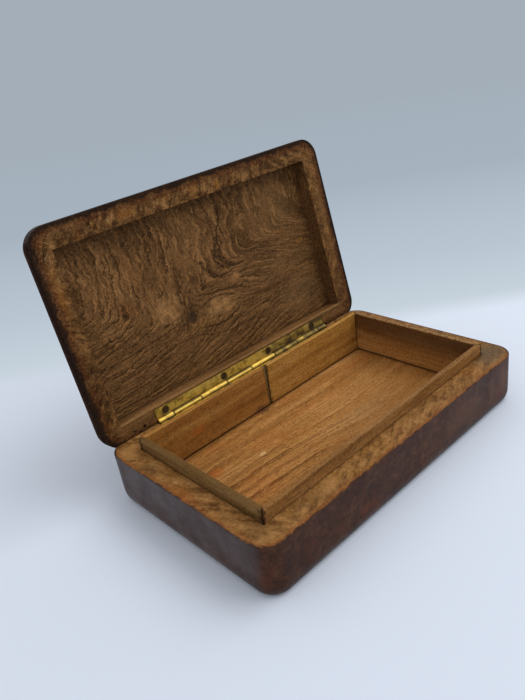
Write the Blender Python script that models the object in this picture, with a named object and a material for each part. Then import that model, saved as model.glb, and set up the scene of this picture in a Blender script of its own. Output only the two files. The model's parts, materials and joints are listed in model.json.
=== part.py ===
"""Desk box of burr wood, open, with a lipped tray lining and a brass strip hinge.

Metres, +Z up, X along the box, the front face towards -Y. The origin is on the table,
under the middle of the base. The lid stands open against its bevelled back edge.
"""

from math import cos, pi, radians, sin

import bmesh
import bpy
from mathutils import Vector

# Closed box, seen from above
body_length = 0.1800
front_to_axis = 0.1055
back_overhang = 0.0022
corner_radius = 0.0101
least_corner = 0.0030
corner_steps = 12

# Heights of the two halves and the softness of their edges
base_height = 0.0264
lid_height = 0.0141
rim_gap = 0.0003
arris = 0.0005
foot_inset = 0.0033
foot_rise = 0.0067
crown_inset = 0.0136
crown_rise = 0.0099
edge_steps = 7
smooth_angle = radians(32)

# How far the lid leans back on its bevel
open_angle = radians(101.3)

# Tray lining of thin strips, standing on a loose floor panel
left_rim = 0.0112
right_rim = 0.0132
front_rim = 0.0120
liner_back_to_axis = 0.0109
liner_thickness = 0.0026
liner_arris = 0.0004
liner_arris_segments = 2
lip_height = 0.0060
mitre_gap = 0.0003
butt_joint_x = 0.0005
butt_gap = 0.0004
floor_level = 0.0088
floor_thickness = 0.0030
seat_gap = 0.0003

# Recess in the lid that drops over the lip
recess_depth = 0.0090
recess_end_clearance = 0.0008
recess_front_clearance = 0.0008
recess_back_clearance = 0.0030

# Brass hinge, cut from a longer strip, so that its end knuckles are short
hinge_length = 0.1225
hinge_shift = 0.0002
leaf_width = 0.0065
leaf_thickness = 0.0008
first_knuckle = 0.0093
knuckle_pitch = 0.0177
knuckle_gap = 0.0003
pin_radius = 0.0008
pin_clearance = 0.00006
pin_inset = 0.0002
knuckle_clearance = 0.0003
groove_clearance = 0.0004
mortise_clearance = 0.0003
roll_angle = 1.5 * pi
curl_steps = 18
neck_steps = 4
rod_steps = 24

# Countersunk screws, four in each leaf, in hand-drilled places: one from each end of the
# strip and two about its middle
left_screw_to_end = 0.00615
right_screw_to_end = 0.00955
middle_screws = (-0.0166, 0.0161)
screw_to_axis = 0.0040
screw_head_radius = 0.0018
screw_head_depth = 0.0009
screw_shank_radius = 0.0009
screw_length = 0.0090
screw_tip = 0.0020
screw_point_radius = 0.00014
screw_sink = 0.00005
screw_clearance = 0.0002
slot_width = 0.0005
slot_depth = 0.0004
first_slot_angle = 3.1
slot_angle_step = 2.2
screw_steps = 20

# Worked out from the sizes above
body_depth = front_to_axis + back_overhang
front_y = -body_depth / 2
back_y = body_depth / 2
axis_y = back_y - back_overhang
axis_z = base_height + rim_gap / 2
bevel_angle = open_angle / 2
bore_radius = pin_radius + pin_clearance
barrel_radius = bore_radius + leaf_thickness
notch = barrel_radius + knuckle_clearance
groove_radius = barrel_radius + groove_clearance
leaf_depth = rim_gap / 2 + leaf_thickness
mortise_depth = leaf_depth + mortise_clearance
hinge_left = hinge_shift - hinge_length / 2
hinge_right = hinge_shift + hinge_length / 2
screw_places = (
    hinge_left + left_screw_to_end,
    hinge_shift + middle_screws[0],
    hinge_shift + middle_screws[1],
    hinge_right - right_screw_to_end,
)
liner_left_x = -body_length / 2 + left_rim
liner_right_x = body_length / 2 - right_rim
liner_front_y = front_y + front_rim
liner_back_y = axis_y - liner_back_to_axis
liner_top = base_height + lip_height

# How far the cutting guides run past what they cut, and what counts as the same place
spare = 0.010
bevel_lead = 0.0025
hole_lead = 0.0025
same_place = 1e-6


def material(name, colour, roughness, metallic=0.0):
    """A plain Principled finish."""
    finish = bpy.data.materials.new(name)
    finish.use_nodes = True
    shader = finish.node_tree.nodes["Principled BSDF"]
    shader.inputs["Base Color"].default_value = (*colour, 1.0)
    shader.inputs["Roughness"].default_value = roughness
    shader.inputs["Metallic"].default_value = metallic
    return finish


def piece(name, mesh_tools, finish=None, parent=None):
    """Turn finished mesh tools into an object, with its round faces smooth."""
    bmesh.ops.recalc_face_normals(mesh_tools, faces=mesh_tools.faces)
    mesh = bpy.data.meshes.new(name)
    mesh_tools.to_mesh(mesh)
    mesh_tools.free()
    mesh.shade_smooth()
    mesh.set_sharp_from_angle(angle=smooth_angle)
    if finish:
        mesh.materials.append(finish)
    thing = bpy.data.objects.new(name, mesh)
    bpy.context.collection.objects.link(thing)
    thing.parent = parent
    return thing


def box_tools(low, high):
    """Mesh tools that hold a box between two corners."""
    tools = bmesh.new()
    bmesh.ops.create_cube(tools, size=1.0)
    low, high = Vector(low), Vector(high)
    bmesh.ops.scale(tools, vec=high - low, verts=tools.verts)
    bmesh.ops.translate(tools, vec=(low + high) / 2, verts=tools.verts)
    return tools


def cutter(name, mesh_tools, parent=None, place=(0, 0, 0), turn=0.0):
    """A guide solid that only cuts."""
    thing = piece(name, mesh_tools, parent=parent)
    thing.location = place
    thing.rotation_euler = (turn, 0, 0)
    thing.hide_render = True
    thing.display_type = "WIRE"
    return thing


def carve(body, cutters):
    """Cut each guide solid out of a body."""
    for guide in cutters:
        cut = body.modifiers.new(guide.name, "BOOLEAN")
        cut.operation = "DIFFERENCE"
        cut.solver = "EXACT"
        cut.object = guide


def turned(profile, steps):
    """A closed solid turned about Z from (radius, z) points, with flat ends."""
    tools = bmesh.new()
    rings = []
    for radius, z in profile:
        ring = []
        for step in range(steps):
            angle = 2 * pi * step / steps
            ring.append(tools.verts.new((radius * cos(angle), radius * sin(angle), z)))
        rings.append(ring)
    skin(tools, rings)
    return tools


def skin(tools, rings):
    """Join rings of equal counts with quads and close both ends."""
    for lower, upper in zip(rings, rings[1:]):
        for i, vert in enumerate(lower):
            after = (i + 1) % len(lower)
            tools.faces.new((vert, lower[after], upper[after], upper[i]))
    tools.faces.new(rings[0])
    tools.faces.new(rings[-1])


def outline(tools, inset, z, y_offset):
    """The rounded rectangle of the box at one height, as a ring of vertices."""
    radius = max(corner_radius - inset, least_corner)
    reach_x = body_length / 2 - inset - radius
    low_y = front_y - y_offset + inset + radius
    high_y = back_y - y_offset - inset - radius
    centres = ((reach_x, high_y), (-reach_x, high_y), (-reach_x, low_y), (reach_x, low_y))
    ring = []
    for corner, (x, y) in enumerate(centres):
        for step in range(corner_steps + 1):
            angle = pi / 2 * (corner + step / corner_steps)
            ring.append(tools.verts.new((x + radius * cos(angle), y + radius * sin(angle), z)))
    return ring


def soft_block(low_z, high_z, foot, head, y_offset=0.0):
    """The box outline between two heights, with (inset, rise) roundings at foot and head."""
    tools = bmesh.new()
    rings = []
    for step in range(edge_steps + 1):
        angle = pi / 2 * step / edge_steps
        inset = foot[0] * (1 - sin(angle))
        rings.append(outline(tools, inset, low_z + foot[1] * (1 - cos(angle)), y_offset))
    for step in range(edge_steps + 1):
        angle = pi / 2 * step / edge_steps
        inset = head[0] * (1 - cos(angle))
        rings.append(outline(tools, inset, high_z - head[1] * (1 - sin(angle)), y_offset))
    skin(tools, rings)
    return tools


def lying_cylinder(radius, low_x, high_x):
    """A cylinder along the X axis."""
    tools = bmesh.new()
    rings = []
    for x in (low_x, high_x):
        ring = []
        for step in range(rod_steps):
            angle = 2 * pi * (step + 0.5) / rod_steps
            ring.append(tools.verts.new((x, radius * cos(angle), radius * sin(angle))))
        rings.append(ring)
    skin(tools, rings)
    return tools


def hinge_cutters(side, parent, place):
    """Seat of one leaf about the axis: mortise, barrel groove and pilot holes.

    side is -1 under the axis, in the base, and +1 above it, in the lid.
    """
    name = "base" if side < 0 else "lid"
    low_x = hinge_left - mortise_clearance
    high_x = hinge_right + mortise_clearance
    rims = sorted((-side * spare, side * mortise_depth))
    seat = box_tools((low_x, -leaf_width - mortise_clearance, rims[0]), (high_x, 0.0, rims[1]))
    guides = [
        cutter(name + "_mortise_guide", seat, parent, place),
        cutter(name + "_groove_guide", lying_cylinder(groove_radius, low_x, high_x), parent, place),
    ]
    hole = screw_shank_radius + screw_clearance
    for number, x in enumerate(screw_places, 1):
        reach = rim_gap / 2 + screw_length + seat_gap
        ends = sorted((0.0, side * reach))
        tools = turned(((hole, ends[0]), (hole, ends[1])), screw_steps)
        bmesh.ops.translate(tools, vec=(x, -screw_to_axis, 0), verts=tools.verts)
        guides.append(cutter(f"{name}_pilot_guide_{number}", tools, parent, place))
    return guides


def knuckle_spans():
    """Ends of every knuckle along X, the first and last cut short with the strip."""
    spans = []
    start = hinge_left
    end = hinge_left + first_knuckle
    while start < hinge_right - knuckle_gap:
        spans.append((start, min(end, hinge_right)))
        start = end
        end += knuckle_pitch
    return spans


def curled_leaf(side, own):
    """A leaf about the axis whose own knuckles are its sheet, necked down and rolled round."""
    spans = knuckle_spans()
    stations = {hinge_left, hinge_right}
    rolls = []
    for index in own:
        low, high = spans[index]
        low += knuckle_gap / 2 if index > 0 else 0.0
        high -= knuckle_gap / 2 if index < len(spans) - 1 else 0.0
        rolls.append((low, high))
        stations.update((low, high))
    tools = bmesh.new()
    near, far = rim_gap / 2, leaf_depth
    section = ((-leaf_width, near), (-notch, near), (-notch, far), (-leaf_width, far))
    rows = []
    for x in sorted(stations):
        rows.append([tools.verts.new((x, y, side * z)) for y, z in section])
    skin(tools, rows)
    for low, high in rolls:
        edge = [f for f in tools.faces if is_roll_edge(f, low, high)]
        roll_sheet(tools, edge, side)
    return tools


def is_roll_edge(face, low, high):
    """The narrow face at the notch between two stations."""
    xs = [v.co.x for v in face.verts]
    at_notch = all(abs(v.co.y + notch) < same_place for v in face.verts)
    return at_notch and abs(min(xs) - low) < same_place and abs(max(xs) - high) < same_place


def roll_sheet(tools, faces, side):
    """Neck the sheet away from the rim and roll it three quarters round the pin."""
    near = rim_gap / 2
    for step in range(1, neck_steps + 1):
        share = step / neck_steps
        ease = share * share * (3 - 2 * share)
        faces, verts = extruded(tools, faces)
        middle = sum(abs(vert.co.z) for vert in verts) / len(verts)
        for vert in verts:
            rise = leaf_thickness if abs(vert.co.z) > middle else 0.0
            vert.co.y = -notch * (1 - share)
            vert.co.z = side * (near + (bore_radius - near) * ease + rise)
    for step in range(1, curl_steps + 1):
        angle = -pi / 2 + roll_angle * step / curl_steps
        faces, verts = extruded(tools, faces)
        for vert in verts:
            outer = vert.co.yz.length > bore_radius + leaf_thickness / 2
            radius = barrel_radius if outer else bore_radius
            vert.co.y = radius * cos(angle)
            vert.co.z = -side * radius * sin(angle)


def extruded(tools, faces):
    """Extrude a face region and hand back its new faces and vertices."""
    result = bmesh.ops.extrude_face_region(tools, geom=faces)
    new_faces = [g for g in result["geom"] if isinstance(g, bmesh.types.BMFace)]
    new_verts = [g for g in result["geom"] if isinstance(g, bmesh.types.BMVert)]
    bmesh.ops.delete(tools, geom=[f for f in faces if f.is_valid], context="FACES_ONLY")
    return new_faces, new_verts


def screw_tools(side, x):
    """A countersunk wood screw with its head in the leaf, pointing into the wood."""
    top = rim_gap / 2 + screw_sink
    tip = top + screw_length
    profile = (
        (screw_head_radius, top),
        (screw_shank_radius, top + screw_head_depth),
        (screw_shank_radius, tip - screw_tip),
        (screw_point_radius, tip),
    )
    tools = turned([(radius, side * z) for radius, z in profile], screw_steps)
    bmesh.ops.translate(tools, vec=(x, -screw_to_axis, 0), verts=tools.verts)
    return tools


def sink_tools(side, x):
    """The countersunk hole for one screw, through a leaf."""
    top = rim_gap / 2 + screw_sink
    flare = screw_clearance
    profile = (
        (screw_head_radius + flare + top, 0.0),
        (screw_shank_radius + flare, top + screw_head_depth),
        (screw_shank_radius + flare, top + screw_head_depth + hole_lead),
    )
    tools = turned([(radius, side * z) for radius, z in profile], screw_steps)
    bmesh.ops.translate(tools, vec=(x, -screw_to_axis, 0), verts=tools.verts)
    return tools


def slot_tools(side, x, turn):
    """The driver's slot across a screw head."""
    reach = screw_head_radius + slot_width
    surface = rim_gap / 2
    ends = sorted((side * (surface - slot_depth), side * (surface + screw_sink + slot_depth)))
    tools = box_tools((-reach, -slot_width / 2, ends[0]), (reach, slot_width / 2, ends[1]))
    spin = Vector((cos(turn), sin(turn)))
    for vert in tools.verts:
        vert.co.xy = (vert.co.x * spin.x - vert.co.y * spin.y, vert.co.x * spin.y + vert.co.y * spin.x)
    bmesh.ops.translate(tools, vec=(x, -screw_to_axis, 0), verts=tools.verts)
    return tools


def hinge_half(side, own, parent, place):
    """One leaf with its screws."""
    name = "base" if side < 0 else "lid"
    leaf = piece("hinge_leaf_" + name, curled_leaf(side, own), brass, parent)
    leaf.location = place
    holes = []
    for number, x in enumerate(screw_places, 1):
        holes.append(cutter(f"{name}_sink_guide_{number}", sink_tools(side, x), parent, place))
        screw = piece(f"{name}_screw_{number}", screw_tools(side, x), screw_brass, parent)
        screw.location = place
        turn = first_slot_angle + slot_angle_step * (number - 1)
        carve(screw, [cutter(f"{name}_slot_guide_{number}", slot_tools(side, x, turn), parent, place)])
    carve(leaf, holes)


def strip(name, corners):
    """A lining strip from its four corners in plan, with softened top edges."""
    tools = bmesh.new()
    face = tools.faces.new([tools.verts.new((x, y, floor_level + seat_gap)) for x, y in corners])
    result = bmesh.ops.extrude_face_region(tools, geom=[face])
    raised = [g for g in result["geom"] if isinstance(g, bmesh.types.BMVert)]
    rise = liner_top - floor_level - seat_gap
    bmesh.ops.translate(tools, vec=(0, 0, rise), verts=raised)
    tops = [e for e in tools.edges if all(v in raised for v in e.verts)]
    bmesh.ops.bevel(tools, geom=tops, offset=liner_arris, segments=liner_arris_segments, affect="EDGES")
    return piece(name, tools, lining_wood)


def make_base():
    """The lower block, hollowed for the tray, bevelled behind and let in for the hinge."""
    block = soft_block(0.0, base_height, (foot_inset, foot_rise), (arris, arris))
    body = piece("base_body", block, burr)
    pocket = box_tools(
        (liner_left_x - seat_gap, liner_front_y - seat_gap, floor_level - floor_thickness - seat_gap),
        (liner_right_x + seat_gap, liner_back_y + seat_gap, base_height + spare),
    )
    reach = body_length / 2 + spare
    bevel = box_tools((-reach, -bevel_lead, -rim_gap / 2), (reach, spare, spare))
    axis = (0, axis_y, axis_z)
    guides = [
        cutter("base_pocket_guide", pocket),
        cutter("base_bevel_guide", bevel, None, axis, -bevel_angle),
    ]
    carve(body, guides + hinge_cutters(-1, None, axis))


def make_tray():
    """The floor panel and the five strips of the lining."""
    panel = box_tools(
        (liner_left_x, liner_front_y, floor_level - floor_thickness),
        (liner_right_x, liner_back_y, floor_level),
    )
    piece("base_floor", panel, floor_wood)
    left, right, front, back = liner_left_x, liner_right_x, liner_front_y, liner_back_y
    wall = liner_thickness
    half = mitre_gap * 2 ** 0.5 / 2
    joint_low, joint_high = butt_joint_x - butt_gap / 2, butt_joint_x + butt_gap / 2
    strip("liner_front", ((left + half, front), (right - half, front),
                          (right - wall - half, front + wall), (left + wall + half, front + wall)))
    strip("liner_left", ((left, front + half), (left + wall, front + wall + half),
                         (left + wall, back - wall - half), (left, back - half)))
    strip("liner_right", ((right, front + half), (right, back - half),
                          (right - wall, back - wall - half), (right - wall, front + wall + half)))
    strip("liner_back_left", ((left + half, back), (left + wall + half, back - wall),
                              (joint_low, back - wall), (joint_low, back)))
    strip("liner_back_right", ((joint_high, back), (joint_high, back - wall),
                               (right - wall - half, back - wall), (right - half, back)))


def make_lid(hinge_line):
    """The crowned upper block about the hinge axis, with its recess, bevel and hinge seat."""
    low = rim_gap / 2
    block = soft_block(low, low + lid_height, (arris, arris), (crown_inset, crown_rise), axis_y)
    body = piece("lid_body", block, burr, hinge_line)
    recess_front = liner_front_y - axis_y - recess_front_clearance
    recess_back = -liner_back_to_axis + recess_back_clearance
    recess = box_tools(
        (liner_left_x - recess_end_clearance, recess_front, -spare),
        (liner_right_x + recess_end_clearance, recess_back, low + recess_depth),
    )
    reach = body_length / 2 + spare
    bevel = box_tools((-reach, -bevel_lead, -spare), (reach, 2 * spare, rim_gap / 2))
    guides = [
        cutter("lid_recess_guide", recess, hinge_line),
        cutter("lid_bevel_guide", bevel, hinge_line, (0, 0, 0), bevel_angle),
    ]
    carve(body, guides + hinge_cutters(1, hinge_line, (0, 0, 0)))


for old in list(bpy.data.objects):
    bpy.data.objects.remove(old, do_unlink=True)

burr = material("burr_wood", (0.30, 0.15, 0.06), 0.35)
lining_wood = material("lining_wood", (0.36, 0.20, 0.09), 0.6)
floor_wood = material("floor_wood", (0.42, 0.22, 0.09), 0.55)
brass = material("hinge_brass", (0.62, 0.47, 0.16), 0.35, 1.0)
screw_brass = material("screw_brass", (0.16, 0.11, 0.05), 0.5, 1.0)

lid_axis = bpy.data.objects.new("lid_axis", None)
bpy.context.collection.objects.link(lid_axis)
lid_axis.location = (0, axis_y, axis_z)
lid_axis.rotation_euler = (-open_angle, 0, 0)

make_base()
make_tray()
make_lid(lid_axis)
knuckle_count = len(knuckle_spans())
hinge_half(1, range(0, knuckle_count, 2), lid_axis, (0, 0, 0))
hinge_half(-1, range(1, knuckle_count, 2), None, (0, axis_y, axis_z))
pin = piece("hinge_pin", lying_cylinder(pin_radius, hinge_left + pin_inset, hinge_right - pin_inset), brass)
pin.location = (0, axis_y, axis_z)
bpy.context.view_layer.update()
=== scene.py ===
# Looks of the burr wood desk box: modelled bodies, lining, hinge and their finishes
import json
from math import cos, pi, radians, sin

import bmesh
import bpy
from mathutils import Matrix, Vector, noise


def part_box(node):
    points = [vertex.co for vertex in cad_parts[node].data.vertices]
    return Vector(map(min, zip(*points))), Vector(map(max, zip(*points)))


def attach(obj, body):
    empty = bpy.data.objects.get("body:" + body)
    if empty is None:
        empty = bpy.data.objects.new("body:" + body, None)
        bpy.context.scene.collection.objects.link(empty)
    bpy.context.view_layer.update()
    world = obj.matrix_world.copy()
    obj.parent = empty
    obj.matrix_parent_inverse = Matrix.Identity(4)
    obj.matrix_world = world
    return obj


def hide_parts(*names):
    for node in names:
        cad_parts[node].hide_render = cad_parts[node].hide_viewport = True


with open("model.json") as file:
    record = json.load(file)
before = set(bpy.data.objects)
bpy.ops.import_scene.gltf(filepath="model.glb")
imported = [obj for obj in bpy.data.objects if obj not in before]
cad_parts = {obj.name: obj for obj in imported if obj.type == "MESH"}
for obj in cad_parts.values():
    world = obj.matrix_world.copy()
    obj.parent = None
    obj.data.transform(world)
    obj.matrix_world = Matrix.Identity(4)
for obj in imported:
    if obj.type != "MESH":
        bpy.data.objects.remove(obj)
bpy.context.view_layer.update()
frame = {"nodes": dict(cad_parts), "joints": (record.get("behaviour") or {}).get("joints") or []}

print("frame loaded:", len(frame["nodes"]), "nodes")

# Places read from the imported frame
hingeJoint = frame["joints"][0]
hingePlace = Vector(hingeJoint["pos_m"])
openAngle = radians(hingeJoint["range_deg"][1])
baseLow, baseHigh = (Vector(corner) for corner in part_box("base_body"))
floorLow, floorHigh = (Vector(corner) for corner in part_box("base_floor"))
leafLow, leafHigh = (Vector(corner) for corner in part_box("hinge_leaf_base"))
rimGap = 2 * (hingePlace.z - baseHigh.z)
halfDepth = baseHigh.y

cutterReach = 0.01  # how far a cutter stands out of the wood
facing = 0.9        # cosine from which a face or an edge counts as lying along an axis
nearly = 1e-5       # heights this close count as one


# Selecting and finishing

def deselectAll():
    if bpy.context.mode != "OBJECT":
        bpy.ops.object.mode_set(mode="OBJECT")
    bpy.ops.object.select_all(action="DESELECT")


def makeActive(piece):
    deselectAll()
    piece.select_set(True)
    bpy.context.view_layer.objects.active = piece


def startEditing(piece, mode="FACE"):
    makeActive(piece)
    bpy.ops.object.mode_set(mode="EDIT")
    bpy.ops.mesh.select_mode(type=mode)
    bpy.ops.mesh.select_all(action="DESELECT")


def selectFaces(piece, test):
    # faces are picked by their middle and their normal
    bpy.ops.mesh.select_all(action="DESELECT")
    mesh = bmesh.from_edit_mesh(piece.data)
    for face in mesh.faces:
        face.select_set(bool(test(face.calc_center_median(), face.normal)))
    bmesh.update_edit_mesh(piece.data)


def selectEdges(piece, test):
    # edges are picked by their middle and their direction
    bpy.ops.mesh.select_all(action="DESELECT")
    mesh = bmesh.from_edit_mesh(piece.data)
    for edge in mesh.edges:
        start, end = (vert.co for vert in edge.verts)
        edge.select_set(bool(test((start + end) / 2, (end - start).normalized())))
    bmesh.update_edit_mesh(piece.data)


def applyModifier(piece, kind, **settings):
    makeActive(piece)
    modifier = piece.modifiers.new(kind.title(), kind)
    for key, value in settings.items():
        setattr(modifier, key, value)
    bpy.ops.object.modifier_apply(modifier=modifier.name)


def applyPlace(piece):
    makeActive(piece)
    bpy.ops.object.transform_apply(location=True, rotation=True, scale=True)


def addBlock(name, low, high):
    deselectAll()
    low, high = Vector(low), Vector(high)
    bpy.ops.mesh.primitive_cube_add(size=1, location=(low + high) / 2)
    piece = bpy.context.object
    piece.name = piece.data.name = name
    piece.scale = high - low
    applyPlace(piece)
    return piece


def addRod(name, radius, start, end, sides=32):
    deselectAll()
    start, end = Vector(start), Vector(end)
    along = end - start
    bpy.ops.mesh.primitive_cylinder_add(vertices=sides, radius=radius, depth=along.length,
                                        location=(start + end) / 2)
    piece = bpy.context.object
    piece.name = piece.data.name = name
    piece.rotation_euler = along.to_track_quat("Z", "Y").to_euler()
    applyPlace(piece)
    return piece


def carve(piece, cutters):
    for cutter in cutters:
        applyModifier(piece, "BOOLEAN", operation="DIFFERENCE", solver="EXACT", object=cutter)
        bpy.data.objects.remove(cutter, do_unlink=True)


def smoothOff(piece, angle=32):
    # merged, smooth where it is round and sharp where it is cut
    startEditing(piece)
    bpy.ops.mesh.select_all(action="SELECT")
    bpy.ops.mesh.remove_doubles(threshold=1e-6)
    makeActive(piece)
    bpy.ops.object.shade_smooth_by_angle(angle=radians(angle))
    applyModifier(piece, "WEIGHTED_NORMAL", keep_sharp=True)


def quarterRound(inset, rise, steps):
    # (inset, rise) steps of an elliptical quarter round
    places = []
    for step in range(steps + 1):
        angle = pi / 2 * (step / steps)
        places.append((inset * (1 - cos(angle)), rise * sin(angle)))
    return [(after[0] - before[0], after[1] - before[1]) for before, after in zip(places, places[1:])]


def roundOff(inset, rise, steps):
    # the selected face is drawn in along a quarter round
    for inwards, upwards in quarterRound(inset, rise, steps):
        bpy.ops.mesh.inset(thickness=inwards, depth=upwards)


def extrudeTo(before, after, rise, centre):
    # the selected face moves up by rise and changes from one size to another
    bpy.ops.mesh.extrude_region_move(TRANSFORM_OT_translate={"value": (0, 0, rise)})
    bpy.ops.transform.resize(value=(after.x / before.x, after.y / before.y, 1), center_override=centre)


def roundedBlock(name, low, high, radius, segments):
    piece = addBlock(name, low, high)
    startEditing(piece, "EDGE")
    selectEdges(piece, lambda middle, way: abs(way.z) > facing)
    bpy.ops.mesh.bevel(offset=radius, segments=segments, affect="EDGES")
    bpy.ops.mesh.select_mode(type="FACE")
    return piece


def flaredCutter(name, low, high, mouth, flare, steps=4):
    # a block that widens at its mouth, so that it leaves a rounded edge there
    way = 1 if mouth > (low[2] + high[2]) / 2 else -1
    low, high = Vector(low), Vector(high)
    if way > 0:
        high.z = mouth - flare
    else:
        low.z = mouth + flare
    piece = addBlock(name, low, high)
    startEditing(piece)
    selectFaces(piece, lambda middle, normal: normal.z * way > facing)
    size, centre = high - low, (low + high) / 2
    for outwards, rise in quarterRound(flare, flare, steps) + [(0.0, cutterReach)]:
        wider = Vector((size.x + 2 * outwards, size.y + 2 * outwards, 1))
        extrudeTo(size, wider, rise * way, centre)
        size = wider
    deselectAll()
    return piece


# Base: a solid block, hollowed for the tray

baseValues = {
    "cornerRadius": 0.0101, "cornerSteps": 20, "arris": 0.0005, "arrisSteps": 4,
    "footInset": 0.0033, "footRise": 0.0067, "footSteps": 10,
    "pocketGap": 0.0003, "mouthArris": 0.00025,
}
hingeSeat = {
    "gap": 0.0003, "leafWidth": 0.0065, "leafThickness": 0.0008,
    "barrelRadius": 0.00166, "barrelGap": 0.0004,
    "holeRadius": 0.0011, "holeLength": 0.0093, "holeSides": 24, "screwToAxis": 0.0040,
    "bevelLead": 0.0025,
}


def screwPlaces():
    # the middle of each screw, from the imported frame
    boxes = [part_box(f"base_screw_{number}") for number in range(1, 5)]
    return [(low[0] + high[0]) / 2 for low, high in boxes]


def hingeCutters(side):
    # mortise, barrel groove and pilot holes about an axis at the origin; side -1 is the base
    seat = hingeSeat
    left, right = leafLow.x - seat["gap"], leafHigh.x + seat["gap"]
    depth = rimGap / 2 + seat["leafThickness"] + seat["gap"]
    ends = sorted((-side * cutterReach, side * depth))
    front = -seat["leafWidth"] - seat["gap"]
    groove = seat["barrelRadius"] + seat["barrelGap"]
    cutters = [
        addBlock("mortise", (left, front, ends[0]), (right, 0, ends[1])),
        addRod("groove", groove, (left, 0, 0), (right, 0, 0)),
    ]
    for x in screwPlaces():
        top = Vector((x, -seat["screwToAxis"], 0))
        bottom = top + Vector((0, 0, side * seat["holeLength"]))
        cutters.append(addRod("pilot", seat["holeRadius"], top, bottom, seat["holeSides"]))
    return cutters


def bevelCutter(side):
    # the wedge behind the axis that lets the lid lean back
    reach, spare = baseHigh.x + cutterReach, 2 * cutterReach
    low, high = (-rimGap / 2, spare) if side < 0 else (-spare, rimGap / 2)
    cutter = addBlock("bevel", (-reach, -hingeSeat["bevelLead"], low), (reach, spare, high))
    cutter.rotation_euler.x = side * openAngle / 2
    applyPlace(cutter)
    return cutter


def placeCutters(cutters, place):
    for cutter in cutters:
        cutter.location = place
        applyPlace(cutter)
    return cutters


def modelBase():
    values = baseValues
    low = Vector((baseLow.x, -halfDepth, values["footRise"]))
    high = Vector((baseHigh.x, halfDepth, baseHigh.z - values["arris"]))
    piece = roundedBlock("base_burr", low, high, values["cornerRadius"], values["cornerSteps"])
    selectFaces(piece, lambda middle, normal: normal.z < -facing)
    roundOff(values["footInset"], values["footRise"], values["footSteps"])
    selectFaces(piece, lambda middle, normal: normal.z > facing and middle.z > high.z - nearly)
    roundOff(values["arris"], values["arris"], values["arrisSteps"])
    gap = Vector((values["pocketGap"], values["pocketGap"], 0))
    under, above = Vector((0, 0, gap.x)), Vector((0, 0, cutterReach))
    pocket = flaredCutter("pocket", floorLow - gap - under, floorHigh + gap + above, baseHigh.z,
                          values["mouthArris"])
    cutters = placeCutters([bevelCutter(-1)] + hingeCutters(-1), hingePlace)
    carve(piece, [pocket] + cutters)
    smoothOff(piece)
    return piece


# Lid: a crowned block with a recess, modelled closed about the hinge axis and then opened

lidValues = {
    "height": 0.0141, "crownInset": 0.0136, "crownRise": 0.0099, "crownSteps": 16, "leastCorner": 0.0030,
    "recessDepth": 0.0090, "recessMouth": 0.0003,
    "recessEnd": 0.0008, "recessFront": 0.0008, "recessBack": 0.0030,
    # old screw holes and a bruised pit: place along the hinge, distance from its axis, radius
    "oldHoles": ((-0.0740, 0.0020, 0.00060), (-0.0683, 0.0022, 0.00075), (-0.0710, 0.0006, 0.00050)),
    "endPit": (0.0632, 0.0005, 0.0009), "holeDepth": 0.0012,
}
lidFrontY = -halfDepth - hingePlace.y
lidBackY = halfDepth - hingePlace.y
recessLeft = floorLow.x - lidValues["recessEnd"]
recessRight = floorHigh.x + lidValues["recessEnd"]
recessFrontY = floorLow.y - hingePlace.y - lidValues["recessFront"]
recessBackY = floorHigh.y - hingePlace.y + lidValues["recessBack"]
recessFloorZ = rimGap / 2 + lidValues["recessDepth"]


def pitCutters():
    # old screw holes left of the hinge and a pit at its right end
    values = lidValues
    cutters = []
    for x, inwards, radius in values["oldHoles"] + (values["endPit"],):
        deselectAll()
        bpy.ops.mesh.primitive_cone_add(vertices=12, radius1=radius, radius2=radius * 0.35,
                                        depth=2 * values["holeDepth"], location=(x, -inwards, rimGap / 2))
        cutter = bpy.context.object
        applyPlace(cutter)
        cutters.append(cutter)
    return cutters


def modelLid():
    values = lidValues
    low = Vector((baseLow.x, lidFrontY, rimGap / 2 + baseValues["arris"]))
    high = Vector((baseHigh.x, lidBackY, rimGap / 2 + values["height"] - values["crownRise"]))
    piece = roundedBlock("lid_burr", low, high, baseValues["cornerRadius"], baseValues["cornerSteps"])
    selectFaces(piece, lambda middle, normal: normal.z < -facing)
    roundOff(baseValues["arris"], baseValues["arris"], baseValues["arrisSteps"])
    selectFaces(piece, lambda middle, normal: normal.z > facing)
    inset, size, centre = 0.0, high - low, (low + high) / 2
    for inwards, rise in quarterRound(values["crownInset"], values["crownRise"], values["crownSteps"]):
        inset += inwards
        if inset < baseValues["cornerRadius"] - values["leastCorner"]:
            bpy.ops.mesh.inset(thickness=inwards, depth=rise)
        else:
            before = Vector((size.x - 2 * (inset - inwards), size.y - 2 * (inset - inwards), 1))
            after = Vector((size.x - 2 * inset, size.y - 2 * inset, 1))
            extrudeTo(before, after, rise, centre)
    recess = flaredCutter("recess", (recessLeft, recessFrontY, rimGap / 2),
                          (recessRight, recessBackY, recessFloorZ), rimGap / 2, values["recessMouth"])
    carve(piece, [recess, bevelCutter(1)] + hingeCutters(1) + pitCutters())
    piece.rotation_euler.x = -openAngle
    piece.location = hingePlace
    applyPlace(piece)
    smoothOff(piece)
    return piece


basePiece = modelBase()
print("base modelled:", len(basePiece.data.polygons), "faces")
lidPiece = modelLid()
print("lid modelled:", len(lidPiece.data.polygons), "faces")


# Lining: five mitred strips with worn top edges

stripValues = {
    "topWear": 0.00055, "wearSteps": 3, "sections": 40, "ripple": 0.00006, "rippleSize": 0.012,
}


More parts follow.
